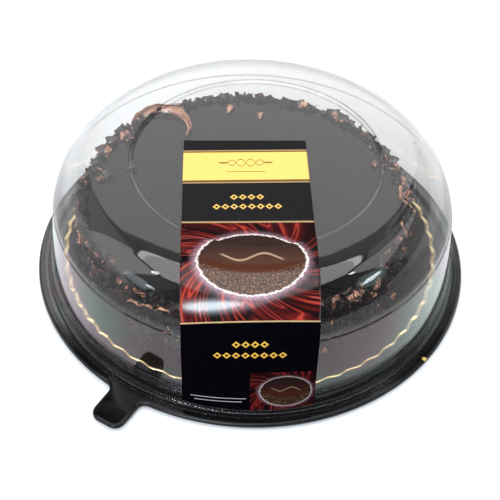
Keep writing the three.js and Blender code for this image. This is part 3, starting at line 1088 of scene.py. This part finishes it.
def mirrorGlaze():
    nodes, where = newMaterial("mirrorGlaze")
    swell = nodes.noise(where, 9.0, detail=1.0)
    marks = nodes.noise(where, 45.0, detail=3.0, bend=1.2)
    colour = nodes.blend(marks.step(0.66, 0.74), (0.006, 0.004, 0.004), (0.026, 0.006, 0.010))
    normal = nodes.bump(swell, 0.0012, 0.3)
    return nodes.finish(nodes.principled(colour, normal, 0.05, IOR=1.36))


# A profile turned about the cake's own axis.
def cakeTurned(profile):
    grid = turnedGrid(profile, cake["steps"])
    grid[..., :2] += cake["centre"]
    return grid


def makeCake():
    r = cake["radius"]
    top = cake["top"]
    middle = cake["centre"]
    turn = np.linspace(0, math.pi / 2, 8)[:, None]
    bodyR = r - cake["bodyInset"]
    bodyTop = top - cake["bodyDrop"]
    bodyInner = cake["bodyInnerEnd"]
    foot = cake["footRound"]
    rim = cake["rimRound"]
    lower = np.hstack([bodyR - foot + foot * np.sin(turn), cake["bottom"] + foot - foot * np.cos(turn)])
    upper = np.hstack([bodyR - rim + rim * np.cos(turn), bodyTop - rim + rim * np.sin(turn)])
    heights = np.linspace(cake["bottom"] + foot, bodyTop - rim, 26)[1:-1]
    walls = np.stack([np.full(len(heights), bodyR), heights], -1)
    profile = np.vstack([[(bodyInner, cake["bottom"])], lower, walls, upper, [(bodyInner, bodyTop)]])
    angle = around(cake["steps"])
    height = profile[:, 1:]
    dents = wobble(angle + height * 0.05, (5, 9, 14, 23, 41), 3)
    dents += 0.5 * wobble(angle - height * 0.11, (31, 47, 66), 5)
    onSide = np.clip((profile[:, :1] - 95) / 8, 0, 1)
    grid = turnedGrid(profile, cake["steps"])
    grid[..., :2] *= 1 - (0.35 + 0.35 * dents[..., None]) * onSide[..., None] / r
    grid[..., :2] += middle
    poles = (*middle, cake["bottom"]), (*middle, bodyTop)
    points, faces = cappedGrid(grid, *poles)
    addPiece("cake_body", points, faces, darkCream(), "cake")

    # the cap's profile, out under the glaze and back over it; its lower edge runs unevenly
    reach = np.linspace(0, 1, 14)[:, None]
    inner = cake["glazeInnerEnd"]
    flatR = inner + (r - rim - inner) * reach
    crown = cake["crown"] * (1 - (flatR / (r - rim)) ** 2)
    over = np.hstack([flatR, top + crown])[::-1]
    outerRim = np.hstack([r - rim + rim * np.cos(turn), top - rim + rim * np.sin(turn)])
    innerRim = outerRim + np.hstack([-np.cos(turn), -np.sin(turn)]) * (cake["glaze"] * 0.9)
    inside = over - [0, cake["glaze"]]
    hang = cake["hang"]
    skirtOut = np.array([(r - 0.2, top - rim - hang), (r + 0.05, top - rim - hang * 0.5)])
    skirtIn = np.array([(r - 1.2, top - rim - hang * 0.5), (r - 1.0, top - rim - hang * 0.9)])
    profile = supported(np.vstack([inside[::-1], innerRim[::-1], skirtIn, skirtOut, outerRim, over[1:]]))
    grid = cakeTurned(profile)
    sag = np.clip((top - rim - profile[:, 1:]) / hang, 0, 1)
    grid[..., 2] += sag * cake["sag"] * wobble(angle, (7, 13, 22, 37), 11)
    poles = (*middle, top + cake["crown"] - cake["glaze"]), (*middle, top + cake["crown"])
    points, faces = cappedGrid(grid, *poles)
    addPiece("glaze_cap", points, faces, mirrorGlaze(), "cake")


makeCake()

# Shavings: bent, ragged slabs of chocolate in several kinds, each kind one mesh. Sizes in millimetres,
# angles in radians; tone is how far a shaving goes from dark to milk chocolate.
shavingKinds = {
    "rim_shards": {
        "of": "rimChocolate", "count": 560, "seed": 21, "grid": (4, 3),
        "length": (4, 10), "width": (2.0, 5.5), "thick": (0.4, 0.9), "bend": (6, 30),
        "radius": (99.5, 103.5), "height": (43.5, 47.5), "lean": 0.9, "side": 0.5, "milk": 0.04,
    },
    "rim_curls": {
        "of": "milkChocolate", "count": 46, "seed": 22, "grid": (6, 3),
        "length": (8, 15), "width": (1.6, 3.2), "thick": (0.4, 0.8), "bend": (3, 7),
        "radius": (99.5, 103.5), "height": (45.0, 48.0), "lean": 0.9, "side": 0.3, "milk": 0.45,
    },
    "rim_crumbs": {
        "of": "rimChocolate", "count": 900, "seed": 23, "grid": (3, 3),
        "length": (0.9, 3.0), "width": (0.8, 2.2), "thick": (0.4, 1.1), "bend": (4, 20),
        "radius": (98.0, 103.5), "height": (43.5, 46.8), "lean": 1.2, "side": 0.5, "milk": 0.10,
    },
    "side_shards": {
        "of": "shadedSideChocolate", "count": 2100, "seed": 24, "grid": (4, 3),
        "length": (5, 13), "width": (2.0, 6.0), "thick": (0.4, 0.9), "bend": (6, 30),
        "radius": (101.8, 104.6), "height": (15.5, 45.0), "lean": 0.5, "side": 1.0, "milk": 0.05,
    },
    "side_crumbs": {
        "of": "shadedSideChocolate", "count": 2400, "seed": 25, "grid": (3, 3),
        "length": (1.0, 3.6), "width": (0.8, 2.6), "thick": (0.4, 1.2), "bend": (4, 20),
        "radius": (102.0, 104.6), "height": (14.8, 45.0), "lean": 0.9, "side": 1.0, "milk": 0.05,
    },
    "foot_shards": {
        "of": "shadedSideChocolate", "count": 700, "seed": 26, "grid": (4, 3),
        "length": (3, 9), "width": (2.0, 5.0), "thick": (0.4, 0.9), "bend": (6, 30),
        "radius": (102.5, 107.5), "height": (14.8, 19.0), "lean": 0.8, "side": 0.3, "milk": 0.05,
    },
}


# Each kind of chocolate: how far its tone is mottled, the size of the mottling, and the gloss.
chocolates = {
    # painted shade: the side kind is the rim's chocolate with less gloss and more roughness, so that the
    # cake's side looks shaded
    "shadedSideChocolate": {"mottling": 0.16, "grain": 700.0, "roughness": 0.45, "gloss": 0.08},
    "rimChocolate": {"mottling": 0.20, "grain": 700.0, "roughness": 0.28, "gloss": 0.30},
    "milkChocolate": {"mottling": 1.10, "grain": 330.0, "roughness": 0.16, "gloss": 0.80},
    "curlChocolate": {"mottling": 0.40, "grain": 200.0, "roughness": 0.14, "gloss": 1.00},
}


def chocolate(name):
    facts = chocolates[name]
    nodes, where = newMaterial(name)
    mottle = nodes.noise(where, facts["grain"], detail=3.0, rough=0.6)
    shade = nodes.attribute("tone") + (mottle - 0.5) * facts["mottling"]
    colour = nodes.add("ShaderNodeValToRGB", {"stops": (
        (0.00, (0.003, 0.002, 0.003)),
        (0.45, (0.011, 0.007, 0.008)),
        (0.72, (0.070, 0.027, 0.016)),
        (0.88, (0.300, 0.120, 0.065)),
        (1.00, (0.680, 0.340, 0.210)),
    )}, {0: shade})
    normal = nodes.bump(mottle, 0.0005, 0.5)
    roughness = facts["roughness"] + mottle * 0.2
    return nodes.finish(nodes.principled(colour, normal, roughness, Specular_IOR_Level=facts["gloss"]))


# Rotation matrices about one axis, for an array of angles.
def spun(axis, angles):
    made = np.zeros((len(angles), 3, 3))
    a, b = (axis + 1) % 3, (axis + 2) % 3
    made[:, axis, axis] = 1
    made[:, a, a] = made[:, b, b] = np.cos(angles)
    made[:, b, a] = np.sin(angles)
    made[:, a, b] = -np.sin(angles)
    return made


# A slab's middle surface is a grid (u, v): u runs along it and is rolled up on the radius bend, so that
# x = bend sin(u L / bend) and z = bend (1 - cos(u L / bend)); v runs across and narrows to one end.
# Each corner is moved a little at random, and the slab is thinner at its border.
def slabs(shape, length, width, thick, bend, random):
    rows, columns = shape
    count = len(length)
    u, v = np.meshgrid(np.linspace(-0.5, 0.5, rows), np.linspace(-0.5, 0.5, columns), indexing="ij")
    u = u.ravel()[None, :] + random.uniform(-0.5, 0.5, (count, rows * columns)) * 0.42 / rows
    v = v.ravel()[None, :] + random.uniform(-0.5, 0.5, (count, rows * columns)) * 0.42 / columns
    taper = random.uniform(-0.8, 0.8, (count, 1))
    roll = u * length[:, None] / bend[:, None]
    x = bend[:, None] * np.sin(roll)
    y = v * width[:, None] * (1 - taper * u)
    z = bend[:, None] * (1 - np.cos(roll)) + random.uniform(-0.25, 0.25, x.shape)
    border = np.ones((rows, columns))
    border[1:-1, 1:-1] = 2.0
    half = thick[:, None] * 0.35 * border.ravel()
    upper = np.stack([x, y, z + half], -1)
    lower = np.stack([x, y, z - half], -1)
    return np.concatenate([upper, lower], 1)


# One piece of slabs, each turned and set on its middle.
def addSlabs(name, slab, shape, turned, middle, tone, material):
    count, each = slab.shape[:2]
    points = np.einsum("nij,nkj->nki", turned, slab) + middle[:, None, :]
    points[..., 2] = np.maximum(points[..., 2], cake["bottom"])
    faces = (sheetFaces(*shape)[None] + np.arange(count)[:, None, None] * each).reshape(-1, 4)
    values = {"tone": np.repeat(tone, each)}
    addPiece(name, points, [faces], material, "cake", values=values)


def makeShavings(name, kind, material):
    random = np.random.default_rng(kind["seed"])
    count = kind["count"]

    def between(key):
        low, high = kind[key]
        return random.uniform(low, high, count)

    sizes = [between(key) for key in ("length", "width", "thick", "bend")]
    slab = slabs(kind["grid"], *sizes, random)
    turn = random.uniform(0, fullTurn, count)
    r = between("radius")
    z = between("height")
    lean = random.normal(0, kind["lean"] * 0.6, count) + kind["side"] * math.pi / 2
    roll = random.normal(0, kind["lean"] * 0.6, count)
    flip = random.integers(0, 2, count) * math.pi
    spin = random.uniform(0, fullTurn, count)
    turned = spun(2, turn) @ spun(1, lean) @ spun(0, roll + flip) @ spun(2, spin)
    middleX, middleY = cake["centre"]
    centre = np.stack([middleX + r * np.cos(turn), middleY + r * np.sin(turn), z], -1)
    milky = random.random(count) < kind["milk"]
    tone = np.where(milky, random.uniform(0.8, 1.0, count), random.uniform(0.0, 0.6, count))
    addSlabs(name, slab, kind["grid"], turned, centre, tone, material)


chocolateOf = {name: chocolate(name) for name in chocolates}
for kindName, kindFacts in shavingKinds.items():
    makeShavings(kindName, kindFacts, chocolateOf[kindFacts["of"]])

# The large curl: a gutter-shaped ribbon of chocolate carried along an arc that lies on the glaze.
curl = {
    "centre": (-60.5, 70.0),
    "radius": 18.2,
    "lean": 0.5,
    "start": 168.0,
    "end": -22.0,
    "base": curlLow[2],
    "height": 5.6,
    "thickness": 1.5,
    "bulge": 1.5,
    "steps": 80,
    "around": 20,
}


# Round the section, the angle q gives out = thickness/2 cos(q) + bulge (1 - h^2) and up = height
# (1 + h)/2 with h = sin(q); the section shrinks towards both ends of the arc.
def makeCurl():
    share = np.linspace(0, 1, curl["steps"])[:, None]
    turn = np.radians(curl["start"] + (curl["end"] - curl["start"]) * share)
    q = around(curl["around"])[None, :]
    h = np.sin(q)
    size = 0.35 + 0.65 * np.sin(math.pi * np.clip(share, 0.02, 0.98)) ** 0.6
    out = (curl["thickness"] / 2 * np.cos(q) + curl["bulge"] * (1 - h ** 2)) * size
    ripple = 0.35 * np.sin(share * 23) + 0.25 * np.sin(share * 51 + 1)
    up = curl["height"] * (1 + h) / 2 * size + 0.1
    r = curl["radius"] + out + curl["lean"] * up + ripple * (0.4 + up / curl["height"])
    x = curl["centre"][0] + r * np.cos(turn)
    y = curl["centre"][1] + r * np.sin(turn)
    z = curl["base"] + up + 0 * turn
    grid = np.stack([x, y, z], -1)
    middles = grid[:, [0, curl["around"] // 2]].mean(1)
    points, faces = cappedGrid(grid, middles[0], middles[-1])
    streaks = 0.97 + 0.12 * np.sin(3 * q + 9 * share) + 0.1 * np.sin(7 * q + 1)
    values = {"tone": np.concatenate([streaks.ravel(), [0.8, 0.8]])}
    copper = chocolateOf["curlChocolate"]
    addPiece("large_curl", points, faces, copper, "chocolate_curl", values=values)


makeCurl()

# Single large shavings on the glaze and along its rim: x, y, z, length, width, the angle of their length
# from +X, how far they are rolled about it, and the tone from dark to milk chocolate.
accents = (
    (-13.1, 92.0, 47.6, 9.0, 3.6, 75, 15, 0.95),
    (7.4, 85.0, 47.4, 7.5, 3.2, 80, -10, 0.92),
    (-83.9, 63.5, 47.8, 9.0, 4.5, 35, 10, 0.88),
    (-95.5, 48.0, 47.8, 11.0, 8.0, 60, 15, 0.88),
    (-80.3, 59.0, 47.6, 6.5, 3.5, 20, -15, 0.82),
    (-78.1, 33.0, 47.5, 4.5, 3.0, 10, 5, 0.78),
    (-93.0, 26.2, 47.5, 6.0, 3.2, 75, 10, 0.73),
    (-96.9, 19.5, 47.5, 4.5, 3.0, 30, 0, 0.80),
    (-105.5, 18.0, 47.0, 8.0, 3.0, 110, 35, 0.80),
    (-108.2, -3.0, 46.5, 12.0, 2.0, 88, 45, 0.73),
    (-107.3, -16.0, 46.0, 13.0, 2.0, 95, 45, 0.73),
    (-104.8, -30.0, 45.5, 11.0, 2.2, 102, 45, 0.92),
    (-99.5, -37.0, 46.0, 6.0, 3.2, 120, 30, 0.85),
    (-96.5, -46.0, 40.0, 9.0, 2.6, 125, 50, 0.77),
    (-88.0, -58.0, 43.5, 9.0, 2.6, 135, 50, 0.81),
    (-70.0, -77.5, 40.5, 8.0, 4.0, 150, 40, 0.91),
    (-62.0, -82.5, 43.0, 8.0, 4.5, 155, 35, 0.90),
    (-52.5, -88.0, 46.0, 9.0, 4.5, 160, 30, 0.89),
    (81.6, 34.3, 47.6, 5.5, 4.0, 40, 0, 0.80),
    (95.5, 32.0, 47.2, 12.0, 3.5, 100, 30, 0.82),
    (98.0, 18.0, 47.2, 11.0, 3.5, 95, 30, 0.86),
    (87.2, -35.4, 47.2, 8.0, 4.0, 60, 20, 0.73),
    (80.0, -46.5, 46.5, 8.0, 4.0, 50, 30, 0.83),
    (71.7, -65.4, 43.5, 13.0, 5.0, 75, 55, 0.77),
    (55.1, -79.0, 46.6, 9.0, 4.5, 40, 20, 0.90),
    (35.2, -86.0, 46.8, 9.0, 4.5, 15, 15, 0.73),
    (44.7, -82.5, 46.8, 8.0, 4.0, 25, 15, 0.86),
    (38.8, 94.8, 48.2, 10.0, 4.5, -20, 30, 0.89),
    (59.0, 84.0, 48.0, 8.0, 5.0, -35, 30, 0.77),
    (-86.6, 66.5, 48.0, 9.0, 6.0, 40, 50, 0.36),
    (-91.3, 56.6, 48.0, 9.0, 5.0, 20, 40, 0.36),
    (-81.7, 60.8, 48.0, 8.0, 5.0, 70, -30, 0.06),
    (-96.6, 47.4, 48.0, 8.0, 6.0, 50, 30, 0.30),
    (-100.0, 34.4, 48.0, 7.0, 5.0, 30, 35, 0.05),
    (-77.9, 31.5, 48.0, 8.0, 6.0, 10, 8, 0.23),
    (-92.1, 22.7, 48.0, 6.0, 5.0, 60, 10, 0.20),
    (57.7, 86.0, 48.0, 10.0, 6.0, -20, 60, 0.12),
    (63.7, 81.1, 48.0, 9.0, 6.0, -40, 50, 0.16),
    (69.0, 76.0, 48.0, 7.0, 4.0, -30, 40, 0.33),
    (88.9, 46.3, 48.0, 8.0, 5.0, -60, 50, 0.16),
    (92.5, 36.9, 48.0, 7.0, 5.0, -50, 50, 0.10),
    (36.1, 97.4, 48.0, 7.0, 4.0, 10, 45, 0.29),
    (-16.4, 104.0, 48.0, 8.0, 4.0, 0, 50, 0.21),
    (-28.3, 101.6, 48.0, 7.0, 4.0, 15, 50, 0.33),
    (81.0, 60.3, 48.0, 7.0, 4.0, -45, 45, 0.13),
)


def makeAccents():
    random = np.random.default_rng(31)
    facts = np.array(accents, float)
    thick = np.full(len(facts), 0.9)
    bend = random.uniform(5, 10, len(facts))
    slab = slabs((6, 4), facts[:, 3], facts[:, 4], thick, bend, random)
    turned = spun(2, np.radians(facts[:, 5])) @ spun(0, np.radians(facts[:, 6]) + math.pi)
    middle = facts[:, :3] + [0, 0, thick[0]]
    milk = chocolateOf["milkChocolate"]
    addSlabs("accent_shavings", slab, (6, 4), turned, middle, facts[:, 7], milk)


makeAccents()

# One crumb of cream on the tray's rim: a lumpy ball, r = size (1 + lumps(a, b)).
crumb = {"place": (100.1, -93.5, 5.7), "size": 1.2}


def makeCrumb():
    nodes, where = newMaterial("creamCrumb")
    grain = nodes.noise(where, 900.0, detail=3.0)
    colour = nodes.blend(grain, (0.75, 0.52, 0.16), (0.55, 0.34, 0.08))
    normal = nodes.bump(grain, 0.0004, 0.6)
    material = nodes.finish(nodes.principled(colour, normal, 0.6))
    a = around(20)[None, :]
    b = np.linspace(-math.pi / 2, math.pi / 2, 12)[1:-1, None]
    r = crumb["size"] * (1 + 0.18 * np.sin(3 * a + 2 * b) + 0.12 * np.cos(5 * a - 3 * b))
    x, y, z = crumb["place"]
    flat = r * np.cos(b)
    grid = np.stack([x + flat * np.cos(a) * 1.15, y + flat * np.sin(a), z + r * np.sin(b) * 0.75], -1)
    points, faces = cappedGrid(grid, (x, y, z - crumb["size"] * 0.75), (x, y, z + crumb["size"] * 0.75))
    addPiece("cream_crumb", points, faces, material, None)


makeCrumb()
